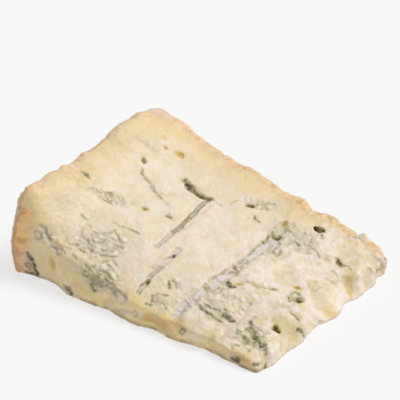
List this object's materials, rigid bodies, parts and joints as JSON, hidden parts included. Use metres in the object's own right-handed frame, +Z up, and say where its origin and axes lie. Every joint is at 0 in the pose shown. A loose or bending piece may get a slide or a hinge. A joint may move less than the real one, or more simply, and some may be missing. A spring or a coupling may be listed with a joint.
{
  "type": "gorgonzola wedge",
  "caption": "Wedge of soft blue cheese lying on its side, with a bumpy tan rind along the thick end and one side, a broken thin end and green-veined cavities.",
  "frame": {"origin": "on the surface that the wedge lies on, below the middle of its bounding box", "axes": "+X from the rind of the wheel's round side to the thin end, +Y towards the rind of the wheel's flat side, +Z up"},
  "size_m": [0.1382, 0.101, 0.0502],
  "materials": {
    "cheese": "moist cream-coloured paste with grey-green mould veins and a tan rind"
  },
  "bodies": {
    "root": {"cheese_wedge": "cheese"}
  },
  "joints": []
}
